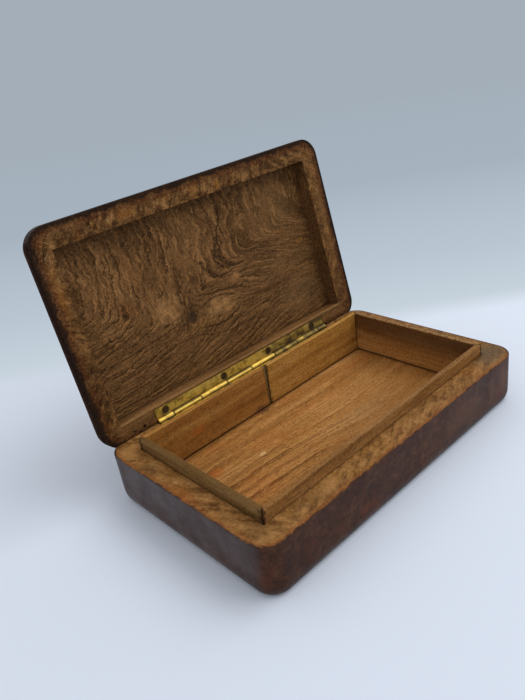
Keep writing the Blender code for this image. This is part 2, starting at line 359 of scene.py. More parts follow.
def modelStrip(node, mitreStart, mitreEnd):
    # a block the size of its node, bisected where it meets its neighbour at 45 degrees
    low, high = (Vector(corner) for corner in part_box(node))
    piece = addBlock(node.replace("liner", "strip"), low, high)
    alongX = high.x - low.x > high.y - low.y
    middle = (low + high) / 2
    inwards = Vector((0, 1, 0)) if alongX else Vector((1, 0, 0))
    if (middle - (floorLow + floorHigh) / 2).dot(inwards) > 0:
        inwards = -inwards
    along = Vector((1, 0, 0)) if alongX else Vector((0, 1, 0))
    startEditing(piece)
    for wanted, end, way in ((mitreStart, low, -along), (mitreEnd, high, along)):
        if wanted:
            # the mitre starts at the outer corner
            corner = Vector((end.x, end.y, low.z))
            across = inwards.dot(corner - middle)
            if across >= 0:
                corner -= inwards * across * 2
            bpy.ops.mesh.select_all(action="SELECT")
            bpy.ops.mesh.bisect(plane_co=corner, plane_no=(way + inwards).normalized(),
                                use_fill=True, clear_outer=True)
    bpy.ops.mesh.select_mode(type="EDGE")
    selectEdges(piece, lambda place, way: place.z > high.z - nearly)
    bpy.ops.mesh.bevel(offset=stripValues["topWear"], segments=stripValues["wearSteps"], affect="EDGES")
    for section in range(1, stripValues["sections"]):
        cut = low + (high - low) * section / stripValues["sections"]
        bpy.ops.mesh.select_all(action="SELECT")
        bpy.ops.mesh.bisect(plane_co=cut, plane_no=along)
    mesh = bmesh.from_edit_mesh(piece.data)
    for vert in mesh.verts:
        share = noise.noise(vert.co / stripValues["rippleSize"])
        vert.co -= inwards * stripValues["ripple"] * (share if inwards.dot(vert.co - middle) < 0 else -share)
    bmesh.update_edit_mesh(piece.data)
    smoothOff(piece, 40)
    return piece


mitredEnds = {
    "liner_front": (True, True), "liner_left": (True, True), "liner_right": (True, True),
    "liner_back_left": (True, False), "liner_back_right": (False, True),
}
strips = {node: modelStrip(node, *ends) for node, ends in mitredEnds.items()}
print("lining modelled:", len(strips), "strips")


# Hinge: the strip brass and its screws, merged from their nodes, with broken edges

hingeValues = {"leafEdge": 0.00010, "screwEdge": 0.00008, "edgeSteps": 2, "edgeAngle": 42}


def softenedCopy(node, name, edge):
    source = bpy.data.objects[node]
    piece = bpy.data.objects.new(name, source.data.copy())
    piece.data.name = name
    bpy.context.collection.objects.link(piece)
    startEditing(piece)
    bpy.ops.mesh.select_all(action="SELECT")
    bpy.ops.mesh.remove_doubles(threshold=2e-6)
    bpy.ops.mesh.dissolve_limited(angle_limit=radians(1))
    deselectAll()
    applyModifier(piece, "BEVEL", width=edge, segments=hingeValues["edgeSteps"], limit_method="ANGLE",
                  angle_limit=radians(hingeValues["edgeAngle"]))
    smoothOff(piece, 35)
    return piece


leaves = {}
for side in ("base", "lid"):
    node = f"hinge_leaf_{side}"
    leaves[node] = softenedCopy(node, f"leaf_{side}", hingeValues["leafEdge"])
pinPiece = softenedCopy("hinge_pin", "pin_rod", hingeValues["screwEdge"])
screws = {}
for side in ("base", "lid"):
    for number in range(1, 5):
        node = f"{side}_screw_{number}"
        screws[node] = softenedCopy(node, f"screw_{side}_{number}", hingeValues["screwEdge"])
print("hinge modelled:", len(leaves) + 1 + len(screws), "pieces")


# Every piece stands for its node and rides on its body

def seatPiece(piece, node, body):
    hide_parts(node)
    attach(piece, body)


seatPiece(basePiece, "base_body", "base")
seatPiece(lidPiece, "lid_body", "lid")
for node, piece in strips.items():
    seatPiece(piece, node, "base")
for node, piece in leaves.items():
    seatPiece(piece, node, node.split("_")[-1])
seatPiece(pinPiece, "hinge_pin", "base")
for node, piece in screws.items():
    seatPiece(piece, node, node.split("_")[0])


# Node trees laid out with plain sums; patterns are in millimetres

def tone(*shade):
    # a screen colour, 0 to 255, as the linear colour that a shader wants
    linear = [((c / 255 + 0.055) / 1.055) ** 2.4 if c > 10 else c / 255 / 12.92 for c in shade]
    return (*linear, 1.0)


def makeTones(**shades):
    return {name: tone(*shade) for name, shade in shades.items()}


class Field:
    # the number that a node puts out
    def __init__(self, graph, socket):
        self.graph, self.socket = graph, socket

    def __add__(self, other):
        return self.graph.calc("ADD", self, other)

    def __sub__(self, other):
        return self.graph.calc("SUBTRACT", self, other)

    def __rsub__(self, other):
        return self.graph.calc("SUBTRACT", other, self)

    def __mul__(self, other):
        return self.graph.calc("MULTIPLY", self, other)

    def __abs__(self):
        return self.graph.calc("ABSOLUTE", self)

    __radd__, __rmul__ = __add__, __mul__

    def ramp(self, low, high, start=0.0, end=1.0):
        # smooth from start at low to end at high
        values = {0: self, 1: low, 2: high, 3: start, 4: end}
        return self.graph.add("MapRange", values, interpolation_type="SMOOTHSTEP")

    def bell(self, middle, width):
        # 1 in the middle, 0 at width from it
        return abs(self - middle).ramp(width, 0.0)


class Graph:
    def __init__(self, tree):
        self.tree = tree

    def feed(self, socket, value):
        value = value.socket if isinstance(value, Field) else value
        if isinstance(value, bpy.types.NodeSocket):
            self.tree.links.new(value, socket)
        else:
            socket.default_value = value

    def add(self, kind, inputs, output=0, **settings):
        node = self.tree.nodes.new("ShaderNode" + kind)
        for key, value in settings.items():
            setattr(node, key, value)
        for key, value in inputs.items():
            self.feed(node.inputs[key], value)
        return Field(self, node.outputs[output])

    def calc(self, operation, *values):
        return self.add("Math", dict(enumerate(values)), operation=operation)

    def largest(self, first, second):
        return self.calc("MAXIMUM", first, second)

    def smallest(self, first, second):
        return self.calc("MINIMUM", first, second)

    def patch(self, x, y, place, reach, soft=0.6):
        # 1 inside an ellipse, fading over its outer share
        across = (x - place[0]) * (1 / reach[0])
        along = (y - place[1]) * (1 / reach[1])
        return self.calc("POWER", across * across + along * along, 0.5).ramp(1.0, 1 - soft)

    def vector(self, x, y, z=0.0):
        return self.add("CombineXYZ", {0: x, 1: y, 2: z})

    def stretched(self, vector, scale, offset=0.0):
        # a place scaled along each axis and moved along Z
        return self.add("Mapping", {"Vector": vector, "Location": (0.0, 0.0, offset), "Scale": scale})

    def split(self, vector):
        # the three numbers of a vector, or of a noise's colour
        kind = "SeparateColor" if vector.socket.type == "RGBA" else "SeparateXYZ"
        node = self.tree.nodes.new("ShaderNode" + kind)
        self.feed(node.inputs[0], vector)
        return [Field(self, socket) for socket in node.outputs]

    def noise(self, vector, scale=1.0, detail=3.0, roughness=0.5, distortion=0.0, output=0):
        values = {"Vector": vector, "Scale": scale, "Detail": detail, "Roughness": roughness,
                  "Distortion": distortion}
        return self.add("TexNoise", values, output=output)

    def mix(self, factor, first, second):
        return self.add("Mix", {0: factor, 6: first, 7: second}, output=2, data_type="RGBA")

    def palette(self, value, stops):
        # a colour ramp from (place, colour) stops
        field = self.add("ValToRGB", {0: value})
        ramp = field.socket.node.color_ramp
        while len(ramp.elements) < len(stops):
            ramp.elements.new(1.0)
        for element, (place, colour) in zip(ramp.elements, stops):
            element.position, element.color = place, colour
        return field

    def stroke(self, along, across, points, width):
        # a drawn line through (along, across) points, thin and fading at both ends
        low, high = min(p[1] for p in points), max(p[1] for p in points)
        start, end = points[0][0], points[-1][0]
        share = (along - start) * (1 / (end - start))
        field = self.add("FloatCurve", {"Value": share})
        curve = field.socket.node.mapping.curves[0]
        places = [((p[0] - start) / (end - start), (p[1] - low) / (high - low)) for p in points]
        curve.points[0].location, curve.points[-1].location = places[0], places[-1]
        for place in places[1:-1]:
            curve.points.new(*place)
        field.socket.node.mapping.update()
        line = abs(across - (field * (high - low) + low)).ramp(width, 0.0)
        return line * share.ramp(0.0, 0.12) * share.ramp(1.0, 0.88)

    def group(self, tree, **inputs):
        node = self.tree.nodes.new("ShaderNodeGroup")
        node.node_tree = tree
        for key, value in inputs.items():
            self.feed(node.inputs[key], value)
        return {socket.name: Field(self, socket) for socket in node.outputs}


class Paint:
    # a colour that takes one layer over another; its shades are named in tones
    def __init__(self, graph, tones, value, *stops):
        self.graph, self.tones = graph, tones
        self.colour = graph.palette(value, [(place, tones[shade]) for place, shade in stops])

    def over(self, mask, shade):
        # a layer of a named shade, or of another colour
        shade = self.tones[shade] if isinstance(shade, str) else shade
        self.colour = self.graph.mix(mask, self.colour, shade)

    def spots(self, x, y, spots, soft=0.8, share=1.0):
        # patches as (place, reach, shade, strength); those of one shade are one mask
        for shade in dict.fromkeys(spot[2] for spot in spots):
            mask = 0.0
            for place, reach, name, strength in spots:
                if name == shade:
                    mask = self.graph.largest(self.graph.patch(x, y, place, reach, soft) * strength, mask)
            self.over(mask * share, shade)

    def speckle(self, wear, dark, light, share):
        self.over(wear["Speckle"].ramp(0.50, 0.36) * share, dark)
        self.over(wear["Speckle"].ramp(0.51, 0.64) * share * 0.7, light)


def startGroup(name, takes, gives):
    # an empty node group; a vector that it takes has no first value
    tree = bpy.data.node_groups.new(name, "ShaderNodeTree")
    for label, value in takes.items():
        kind = "NodeSocketVector" if value is None else "NodeSocketFloat"
        socket = tree.interface.new_socket(name=label, in_out="INPUT", socket_type=kind)
        if value is not None:
            socket.default_value = value
    for label in gives:
        tree.interface.new_socket(name=label, in_out="OUTPUT", socket_type="NodeSocketFloat")
    graph = Graph(tree)
    entry = tree.nodes.new("NodeGroupInput")
    leave = tree.nodes.new("NodeGroupOutput")
    return graph, {s.name: Field(graph, s) for s in entry.outputs if s.name}, leave.inputs


def makeOutlineGroup():
    # how far a point lies inside the box's rounded outline
    graph, takes, gives = startGroup("outlineInside", {"X": 0.0, "Y": 0.0}, ["Inside"])
    radius = baseValues["cornerRadius"] * 1000
    halfX, halfY = baseHigh.x * 1000 - radius, halfDepth * 1000 - radius
    pastX, pastY = abs(takes["X"]) - halfX, abs(takes["Y"]) - halfY
    outX, outY = graph.largest(pastX, 0.0), graph.largest(pastY, 0.0)
    corner = graph.calc("POWER", outX * outX + outY * outY, 0.5)
    inner = graph.smallest(graph.largest(pastX, pastY), 0.0)
    graph.feed(gives["Inside"], radius - corner - inner)
    return graph.tree


def makeGrainGroup():
    # growth rings that darken slowly and end sharply, soft bands, fibres and pores along the grain
    graph, takes, gives = startGroup(
        "woodGrain",
        {"Along": 0.0, "Across": 0.0, "Depth": 0.0, "Spacing": 2.0, "Length": 24.0, "Wobble": 1.5},
        ["Rings", "Ridges", "Bands", "Fibres", "Pores"],
    )
    along, across, depth = takes["Along"], takes["Across"], takes["Depth"]
    spacing = graph.calc("DIVIDE", 1.0, takes["Spacing"])
    length = graph.calc("DIVIDE", 1.0, takes["Length"])
    plain = graph.vector(along, across, depth)
    shorter = graph.vector(along * length, across, depth)
    ringed = graph.vector(along * length, across * spacing, depth)
    wander = graph.noise(graph.stretched(shorter, (2.5, 0.22, 0.2), 3.0), detail=4.0, roughness=0.62)
    ring = graph.calc("FRACT", across * spacing + wander * takes["Wobble"] * 2.0)
    dark = ring.ramp(0.30, 0.90) * ring.ramp(1.0, 0.93)
    vary = graph.noise(graph.stretched(ringed, (1.5, 0.7, 0.2), 9.0), detail=2.0)
    graph.feed(gives["Rings"], dark * dark * vary.ramp(0.36, 0.62, 0.15, 1.0))
    graph.feed(gives["Ridges"], ring.bell(0.16, 0.16) * vary.ramp(0.38, 0.60, 0.15, 1.0))
    graph.feed(gives["Bands"], graph.noise(graph.stretched(ringed, (1.0, 0.35, 0.2), 7.0)))
    fibres = graph.noise(graph.stretched(plain, (0.13, 1.35, 1.35)), detail=4.0, roughness=0.7)
    graph.feed(gives["Fibres"], fibres)
    pores = graph.noise(graph.stretched(plain, (0.5, 1.9, 1.9), 5.0), detail=2.0, roughness=0.6)
    graph.feed(gives["Pores"], pores.ramp(0.54, 0.68))
    return graph.tree


def makeBurlGroup():
    # feathery strokes that change direction, soft mottles and small dark eyes
    graph, takes, gives = startGroup(
        "burlFigure", {"Vector": None, "Scale": 1.0, "Seed": 0.0, "Turn": 0.5},
        ["Strokes", "Mottle", "Eyes", "Fine"],
    )
    x, y, z = graph.split(takes["Vector"])
    scale, seed = takes["Scale"], takes["Seed"]
    place = graph.vector(x * scale, y * scale, z * scale + seed)
    swirl = graph.split(graph.noise(place, 0.05, 1.0, output=1))
    ripple = graph.split(graph.noise(place, 0.30, 2.0, output=1))
    a = (x * 0.9 + y * 0.43) * scale + (swirl[0] - 0.5) * 6.0 + (ripple[0] - 0.5) * 1.8
    b = (x * 0.43 - y * 0.9) * scale + (swirl[1] - 0.5) * 6.0 + (ripple[1] - 0.5) * 1.8
    rising = graph.noise(graph.vector(a * 0.09, b * 0.40, z * scale * 0.5 + seed),
                         detail=4.0, roughness=0.68)
    falling = graph.noise(graph.vector(a * 0.40, b * 0.09, z * scale * 0.5 - seed),
                          detail=4.0, roughness=0.68)
    turn = (graph.noise(place, 0.06, 2.0) + takes["Turn"]).ramp(0.95, 1.05)
    graph.feed(gives["Strokes"], rising * (1 - turn) + falling * turn)
    graph.feed(gives["Mottle"], graph.noise(place, 0.20, 5.0, 0.66))
    graph.feed(gives["Eyes"], graph.noise(place, 0.48, 4.0, 0.65).ramp(0.58, 0.68))
    graph.feed(gives["Fine"], graph.noise(place, 1.3, 4.0, 0.7))
    return graph.tree


def makeHandlingGroup():
    # hair scratches, settled dust, greasy smudges and the fine speckle of open pores
    graph, takes, gives = startGroup(
        "handling", {"Vector": None, "Seed": 0.0}, ["Scratches", "Dust", "Smudges", "Speckle"])
    x, y, z = graph.split(takes["Vector"])
    seed = takes["Seed"]
    place = graph.vector(x + seed, y, z)
    bent = graph.noise(place, 0.03, 1.0) * 9.0
    first = graph.noise(graph.vector((x + y + bent) * 2.1, (x - y) * 0.05, z + seed), detail=0.0)
    second = graph.noise(graph.vector((x * 0.4 - y + bent) * 2.4, (x + y * 0.4) * 0.06, z - seed), detail=0.0)
    scratches = first.bell(0.5, 0.012) + second.bell(0.5, 0.010)
    here = graph.noise(place, 0.11, 1.0).ramp(0.50, 0.66)
    graph.feed(gives["Scratches"], scratches * here)
    graph.feed(gives["Dust"], graph.noise(place, 1.4, 2.0, 0.7).ramp(0.60, 0.80))
    graph.feed(gives["Smudges"], graph.noise(place, 0.07, 3.0, 0.6))
    graph.feed(gives["Speckle"], graph.noise(place, 0.85, 4.0, 0.85))
    return graph.tree


outlineGroup = makeOutlineGroup()
grainGroup = makeGrainGroup()
burlGroup = makeBurlGroup()
handlingGroup = makeHandlingGroup()


def startFinish(name, closed=False):
    # a material's graph and its place in millimetres; a lid's place is that of the closed box
    material = bpy.data.materials.new(name)
    material.use_nodes = True
    graph = Graph(material.node_tree)
    place = graph.add("TexCoord", {}, output="Object")
    turn = Matrix.Rotation(openAngle, 3, "X")
    values = {"Vector": place, "Location": -(turn @ hingePlace) * 1000 if closed else Vector(),
              "Rotation": (openAngle if closed else 0, 0, 0), "Scale": (1000, 1000, 1000)}
    return material, graph, graph.add("Mapping", values)


def finishSurface(graph, colour, roughness, height, depth, specular=0.5):
    # colour, roughness and the bump of the figure, depth in metres
    shader = graph.tree.nodes["Principled BSDF"]
    shader.inputs["Specular IOR Level"].default_value = specular
    graph.feed(shader.inputs["Base Color"], colour)
    graph.feed(shader.inputs["Roughness"], roughness)
    bump = graph.add("Bump", {"Strength": 1.0, "Distance": depth, "Height": height})
    graph.feed(shader.inputs["Normal"], bump)
    return shader


def smudged(wear, roughness, least=-0.06):
    # greasy places shine a little more than the rest
    return wear["Smudges"].ramp(0.3, 0.7, least, 0.08) + roughness


def dressPiece(piece, material):
    piece.data.materials.clear()
    piece.data.materials.append(material)


# Burr finish of the base: golden rim, stained and polished outside

woodSpecular = 0.08
rimTones = makeTones(
    dark=(100, 66, 32), brown=(124, 85, 44), tan=(147, 104, 57), pale=(174, 130, 78), eye=(70, 40, 16),
    fringe=(136, 74, 30), peach=(176, 128, 74), grey=(96, 78, 54), shade=(82, 56, 30), gold=(158, 112, 50),
)
outsideTones = makeTones(
    deep=(44, 24, 15), stain=(61, 35, 23), streak=(76, 46, 30), light=(108, 72, 47), red=(98, 46, 25),
    soot=(22, 17, 15), violet=(62, 50, 48),
)
baseFinish = {
    "stainWidth": 0.5, "stainWander": 1.8, "rimRoughness": 0.52, "outsideRoughness": 0.36,
    "bumpDepth": 0.00012, "coat": 0.05, "endCoat": 0.27, "coatRoughness": 0.3,
    # patches on the rim as (x, y) and on the front as (x, z), in mm
    "rimSpots": (
        ((-86, 24), (6, 9), "shade", 0.6), ((-87, -2), (4, 14), "fringe", 0.55),
        ((-82, -42), (9, 9), "shade", 0.5), ((-84, 43), (9, 8), "peach", 0.7),
        ((80, -45), (20, 12), "grey", 0.9), ((34, -48), (40, 8), "shade", 0.12),
        ((-48, -47), (12, 5), "peach", 0.5), ((60, -46), (10, 6), "fringe", 0.25),
        ((84, 0), (7, 40), "grey", 0.4), ((-76, -47), (5, 3), "eye", 0.4),
        ((-58, -47), (20, 7), "shade", 0.4), ((-64, -49), (3, 2), "peach", 0.5),
    ),
    "frontSpots": (
        ((-35, 9), (5, 4), "red", 0.6), ((38, 14), (26, 10), "light", 0.25),
        ((78, 16), (5, 14), "light", 0.45), ((66, 15), (3, 13), "light", 0.30),
        ((86, 18), (3, 12), "deep", 0.60), ((71, 21), (3, 11), "deep", 0.40),
        ((52, 18), (3, 11), "light", 0.20), ((-70, 12), (8, 12), "deep", 0.35),
    ),
}


def outsidePaint(graph, place, z):
    # the dark polished outside: upright streaks, red and light places
    streak = graph.noise(graph.stretched(place, (0.13, 0.13, 0.05)), detail=5.0, roughness=0.66)
    cloud = graph.noise(place, 0.05, 4.0, 0.62)
    burl = graph.group(burlGroup, Vector=place, Scale=0.7, Seed=21.0, Turn=0.5)
    figure = streak * 0.4 + cloud * 0.3 + burl["Strokes"] * 0.3
    paint = Paint(graph, outsideTones, figure,
                  (0.34, "deep"), (0.47, "stain"), (0.58, "streak"), (0.70, "light"))
    paint.over(burl["Strokes"].ramp(0.46, 0.36) * 0.35, "deep")
    paint.over(burl["Strokes"].ramp(0.56, 0.68) * 0.25, "light")
    paint.over(burl["Eyes"] * 0.45, "soot")
    reds = graph.noise(graph.stretched(place, (0.10, 0.10, 0.05), 5.0), detail=4.0, roughness=0.6)
    paint.over(reds.ramp(0.52, 0.70) * 0.42, "red")
    paint.over(graph.noise(place, 0.35, 5.0, 0.7).ramp(0.50, 0.36) * 0.40, "deep")
    paint.over(graph.noise(place, 0.28, 5.0, 0.7).ramp(0.54, 0.68) * 0.25, "light")
    # sooty dirt near the foot, and painted shade along the very foot where the box meets the floor
    soot = graph.noise(graph.stretched(place, (0.4, 0.4, 0.7)), detail=3.0).ramp(0.45, 0.60)
    paint.over(graph.largest(soot * z.ramp(7.0, 2.0) * 0.7, z.ramp(2.2, 1.0) * 0.9), "soot")
    return paint


def rimPaint(graph, place, seed, tones, turn, marks, eyes):
    # mottled burr, cut across by feathery strokes
    burl = graph.group(burlGroup, Vector=place, Scale=1.0, Seed=seed, Turn=turn)
    figure = burl["Strokes"] * 0.50 + burl["Mottle"] * 0.40 + burl["Fine"] * 0.10
    paint = Paint(graph, tones, figure, (0.38, "dark"), (0.46, "brown"), (0.53, "tan"), (0.62, "pale"))
    paint.over(graph.noise(place, 0.10, 4.0, 0.65).ramp(0.50, 0.66) * 0.35, "gold")
    paint.over(burl["Strokes"].ramp(0.47, 0.36) * marks, "eye")
    paint.over(burl["Strokes"].ramp(0.56, 0.65) * 0.40, "pale")
    paint.over(burl["Eyes"] * eyes, "eye")
    return paint, burl


def makeBaseFinish():
    values = baseFinish
    material, graph, place = startFinish("burrBase")
    x, y, z = graph.split(place)
    inside = graph.group(outlineGroup, X=x, Y=y)["Inside"]
    rim, burl = rimPaint(graph, place, 3.0, rimTones, x.ramp(-64.0, -76.0, 0.2, 0.8), 0.30, 0.04)
    rim.spots(x, y, values["rimSpots"])
    wander = graph.noise(place, 0.09, 3.0, 0.6)
    far = graph.largest(x.ramp(80.0, 86.0), y.ramp(40.0, 46.0))
    ragged = ((wander - 0.5) * 2 * values["stainWander"] + (burl["Strokes"] - 0.5) * 5.0) * (1 - far * 0.8)
    pastStain = inside - (ragged + far * 0.4 + values["stainWidth"])
    rimHeight = baseHigh.z * 1000
    bare = pastStain.ramp(-0.6, 0.7) * z.ramp(rimHeight - 0.45, rimHeight - 0.12)
    rim.over(pastStain.bell(0.6, 1.8) * (0.45 - far * 0.30), "fringe")
    paint = outsidePaint(graph, place, z)
    paint.spots(x, z, values["frontSpots"], share=y.ramp(-40, -50))
    leftEnd = x.ramp(-88.2, -89.8)
    # painted sheen: the left end is greyer and more violet, stronger towards the top, as a reflection of the
    # pale room would make it
    paint.over(leftEnd * z.ramp(6.0, 22.0, 0.35, 0.75), "violet")
    paint.over(bare, rim.colour)
    wear = graph.group(handlingGroup, Vector=place, Seed=2.0)
    paint.speckle(wear, "deep", rimTones["pale"], bare * 0.36 + 0.04)
    paint.over(wear["Scratches"] * 0.12, rimTones["pale"])
    roughness = smudged(wear, values["outsideRoughness"])
    roughness = roughness + bare * (values["rimRoughness"] - values["outsideRoughness"])
    height = burl["Strokes"] * bare * 0.5 + burl["Fine"] * 0.25 - burl["Eyes"] * bare * 0.3
    height = height - wear["Scratches"] * 0.1
    shader = finishSurface(graph, paint.colour, roughness, height, values["bumpDepth"], woodSpecular)
    rubbed = graph.noise(place, 0.10, 4.0, 0.65).ramp(0.36, 0.64, 0.35, 1.25)
    coat = (1 - bare) * (leftEnd * rubbed * values["endCoat"] + values["coat"])
    graph.feed(shader.inputs["Coat Weight"], coat)
    shader.inputs["Coat Roughness"].default_value = values["coatRoughness"]
    return material


# Burr finish of the lid: the swirling figure in its recess, a darker mottled rim

lidTones = makeTones(
    line=(42, 27, 14), brown=(106, 75, 44), warm=(128, 91, 54), pale=(162, 118, 73), deep=(84, 58, 32),
    knot=(38, 31, 27), grey=(104, 82, 52), green=(60, 52, 28), gold=(168, 120, 54), red=(134, 76, 36),
    light=(206, 160, 102),
)
lidRimTones = makeTones(
    dark=(48, 28, 14), brown=(76, 50, 26), tan=(98, 67, 36), pale=(138, 98, 54), eye=(28, 16, 9),
    fringe=(70, 34, 18), gold=(134, 86, 38), light=(168, 128, 82),
)
lidFinish = {
    "stainWidth": 2.2, "stainWander": 3.0, "roughness": 0.55, "outsideRoughness": 0.42, "endRoughness": 0.95,
    "bumpDepth": 0.00014, "specular": 0.03, "spacing": 2.7, "wobble": 1.3, "length": 26.0,
    "knot": (-18.0, 38.0), "knotReach": (3.8, 4.8), "knotTail": (-17.0, 44.0), "tailReach": (2.0, 6.5),
    "rimSpots": (
        ((-40, 99), (8, 4), "gold", 0.6), ((0, 99), (5, 4), "gold", 0.6),
        ((15, 98), (4, 4), "gold", 0.6), ((-84, 76), (4, 18), "gold", 0.5),
        ((-84, 30), (6, 26), "dark", 0.3), ((84, 60), (4, 40), "pale", 0.4),
        ((-70, 98), (12, 6), "dark", 0.4), ((50, 100), (24, 6), "dark", 0.4),
    ),
}
# places in the recess as (u, v) in mm from the hinge's middle: swellings that part the lines,
# calm stretches with few lines, and patches of another colour
lidLenses = (
    ((0, 37), (17, 9), 6.0), ((-31, 45), (12, 8), 4.0), ((16, 48), (7, 5), 3.5), ((36, 44), (22, 13), 7.0),
)
lidCalm = (
    ((0, 37), (16, 8), 0.80), ((-30, 46), (13, 10), 0.75), ((-4, 76), (20, 22), 0.55),
    ((50, 74), (44, 20), 0.72), ((62, 22), (32, 18), 0.50), ((16, 48), (6, 5), 0.9),
    ((64, 50), (24, 18), 0.55),
)
lidPatches = (
    ((0, 36), (20, 10), "pale", 0.65), ((-31, 48), (17, 14), "pale", 0.75),
    ((16, 48), (6.0, 4.6), "pale", 0.8), ((1, 37), (17, 8), "light", 0.30),
    ((-31, 46), (15, 12), "light", 0.30), ((-58, 64), (20, 28), "pale", 0.45),
    ((-3, 72), (7, 18), "warm", 0.8), ((-25, 74), (7, 18), "warm", 0.6), ((-52, 54), (9, 5), "red", 0.5),
    ((-42, 72), (8, 14), "red", 0.28), ((28, 46), (4, 6), "pale", 0.45), ((24, 46), (4, 7), "green", 0.6),
    ((40, 44), (16, 9), "grey", 0.45), ((42, 25), (12, 6), "green", 0.35), ((60, 24), (28, 16), "grey", 0.65),
    ((50, 49), (3, 5), "pale", 0.5), ((58, 74), (20, 16), "grey", 0.35), ((68, 52), (4, 2), "gold", 0.6),
    ((-10, 32), (18, 4), "gold", 0.3), ((2, 12), (80, 6), "gold", 0.18), ((-62, 62), (16, 26), "warm", 0.4),
)
# drawn lines of the figure: (v, u) points of upright lines and (u, v) points of lying ones, in mm,
# with the line's width and strength
uprightLines = (
    (((56, 16), (60, 12.5), (66, 11), (75, 13), (83, 16.5), (91, 16)), 0.9, 1.0),
    (((52, 4), (55, 1), (59, -2), (64, -3.5)), 1.0, 0.9),
    (((54.5, 9.5), (57, 7), (61, 5.5), (67, 5.5)), 0.6, 0.7),
    (((60, -48), (68, -50.5), (76, -48.5), (84, -50), (91, -49)), 0.8, 0.8),
    (((52, -38), (60, -40), (70, -37), (80, -40), (90, -38)), 0.6, 0.6),
    (((56, -62), (64, -64), (74, -61), (86, -64)), 0.6, 0.6),
    (((62, 40), (72, 42), (80, 45), (86, 46)), 0.7, 0.35),
    (((30, -24), (34, -22.5), (38, -21), (44, -20), (50, -19.5), (56, -21)), 0.8, 0.75),
)
lyingLines = (
    (((13, 58.5), (22, 57.5), (31, 57), (40, 54.5), (50, 51), (60, 46)), 0.6, 0.8),
    (((0, 54.5), (4, 52), (8, 51.2), (13, 51.8)), 0.9, 0.9),
    (((-14, 47.5), (-6, 45.8), (3, 44.8), (12, 42.8), (17, 42), (21, 45), (23, 49)), 0.8, 0.95),
    (((-15, 31), (-7, 28.6), (1, 28), (8, 29.6), (15, 32.5)), 0.9, 0.9),
    (((-12, 39.5), (-6, 41.8), (2, 42.2), (9, 40.6), (15, 37)), 0.8, 0.8),
    (((-11, 34), (-4, 31.8), (4, 31.4), (11, 33.6), (15, 36)), 0.5, 0.5),
    (((-42, 41), (-36, 39.5), (-29, 40), (-23, 43)), 0.5, 0.5),
    (((-66, 33), (-50, 34.5), (-36, 36), (-27, 37.6), (-21, 40)), 0.6, 0.8),
    (((-79, 35), (-69, 39), (-59, 41), (-51, 44), (-46, 50)), 0.7, 0.7),
    (((-79, 27), (-68, 29), (-54, 27.5), (-44, 30)), 0.7, 0.7),
    (((-79, 24), (-50, 25), (-24, 28), (-8, 24), (12, 22), (34, 24)), 0.7, 0.6),
    (((24, 50), (31, 53), (41, 49.5), (50, 47)), 0.6, 0.5),
    (((26, 40), (36, 44), (46, 43), (54, 47)), 0.6, 0.45),
)


def acrossFigure(graph, um, vm):
    # lines come down from the front edge, spread outwards and run along the hinge
    left = graph.largest(-15.0 - um, 0.0)
    right = graph.largest(um + 15.0, 0.0)
    spread = vm.ramp(34.0, 14.0, 0.0, 40.0)
    turnHeight = um.ramp(-22.0 - spread, spread + 2.0, 29.5, 46.0)
    slope = left * vm.ramp(8.0, 30.0, 0.0, 0.20)
    slope = slope + graph.largest(um - 15.0, 0.0) * vm.ramp(22.0, 50.0, -0.16, 0.22)
    lying = turnHeight - vm - slope
    across = graph.calc("SMOOTH_MAX", left * -0.75 - right * 0.40, lying, 7.0)
    for spot, reach, bulge in lidLenses:
        wide = (reach[0] * 1.4, reach[1] * 1.4)
        across = across + (vm - spot[1]) * (bulge / reach[1]) * graph.patch(um, vm, spot, wide, 1.0)
    return across


